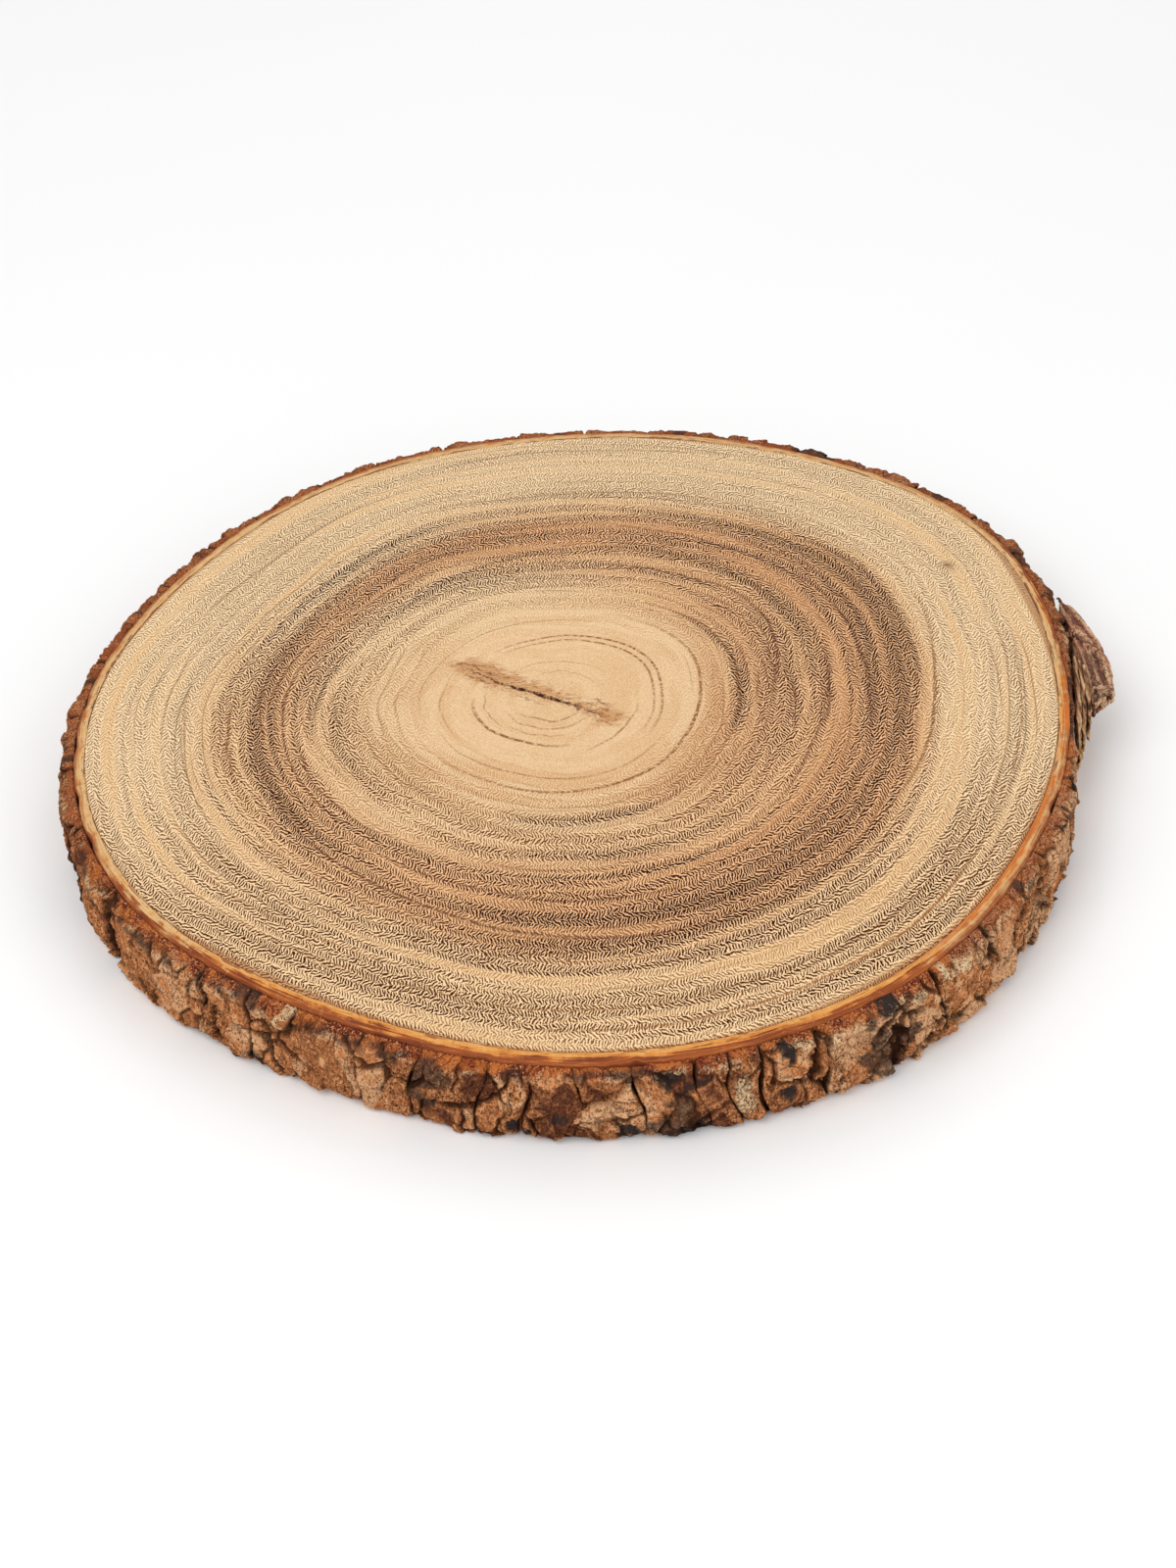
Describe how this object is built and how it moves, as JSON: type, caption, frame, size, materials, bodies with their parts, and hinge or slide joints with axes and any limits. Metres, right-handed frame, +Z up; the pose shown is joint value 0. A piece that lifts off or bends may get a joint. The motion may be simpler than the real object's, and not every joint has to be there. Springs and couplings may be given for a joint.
{
  "type": "serving board",
  "caption": "Round serving board sawn across a tree trunk: a flat sanded face of growth rings inside a rim of rough bark, with one flake of bark peeling off.",
  "frame": {"origin": "middle of the flat sawn underside that the board rests on", "axes": "+Z up, out of the serving face; +X towards the peeling flake of bark; -Y towards the camera of the picture"},
  "size_m": [0.3092, 0.3022, 0.0268],
  "materials": {
    "wood": "sanded and oiled, satin",
    "inner_bark": "sanded bast",
    "outer_bark": "rough weathered bark",
    "old_bark": "dark rough bark",
    "torn_bast": "dry torn fibre"
  },
  "bodies": {
    "root": {"bark_plate_01": "outer_bark", "bark_plate_02": "outer_bark", "bark_plate_03": "outer_bark", "bark_plate_04_lower": "outer_bark", "bark_plate_04_upper": "outer_bark", "bark_plate_05": "outer_bark", "bark_plate_06": "outer_bark", "bark_plate_07": "outer_bark", "bark_plate_08": "outer_bark", "bark_plate_09_lower": "outer_bark", "bark_plate_09_upper": "outer_bark", "bark_plate_10": "outer_bark", "bark_plate_11": "outer_bark", "bark_plate_12": "outer_bark", "bark_plate_13": "outer_bark", "bark_plate_14": "outer_bark", "bark_plate_15_lower": "outer_bark", "bark_plate_15_upper": "outer_bark", "bark_plate_16": "outer_bark", "bark_plate_17": "outer_bark", "bark_plate_18": "outer_bark", "bark_plate_19": "outer_bark", "bark_plate_20_lower": "outer_bark", "bark_plate_20_upper": "outer_bark", "bark_plate_21": "outer_bark", "bark_plate_22": "outer_bark", "bark_plate_23": "outer_bark", "bark_plate_24": "outer_bark", "bark_plate_25_lower": "outer_bark", "bark_plate_25_upper": "outer_bark", "bark_plate_26": "outer_bark", "bark_plate_27": "outer_bark", "bark_plate_28": "outer_bark", "bark_plate_29": "outer_bark", "bark_plate_30": "outer_bark", "bark_plate_31_lower": "outer_bark", "bark_plate_31_upper": "outer_bark", "bark_plate_32": "outer_bark", "bark_plate_33": "outer_bark", "bark_plate_34": "outer_bark", "bark_plate_35": "outer_bark", "bark_plate_36": "outer_bark", "bark_plate_37_lower": "outer_bark", "bark_plate_37_upper": "outer_bark", "bark_plate_38": "outer_bark", "bark_plate_39": "outer_bark", "bark_plate_40_lower": "outer_bark", "bark_plate_40_upper": "outer_bark", "bark_plate_41": "outer_bark", "bark_plate_42": "outer_bark", "bark_plate_43": "outer_bark", "bark_plate_44": "outer_bark", "bast_splinter_1": "torn_bast", "bast_splinter_2": "torn_bast", "bast_splinter_3": "torn_bast", "inner_bark": "inner_bark", "peeling_scale": "old_bark", "wood_slab": "wood"}
  },
  "joints": []
}
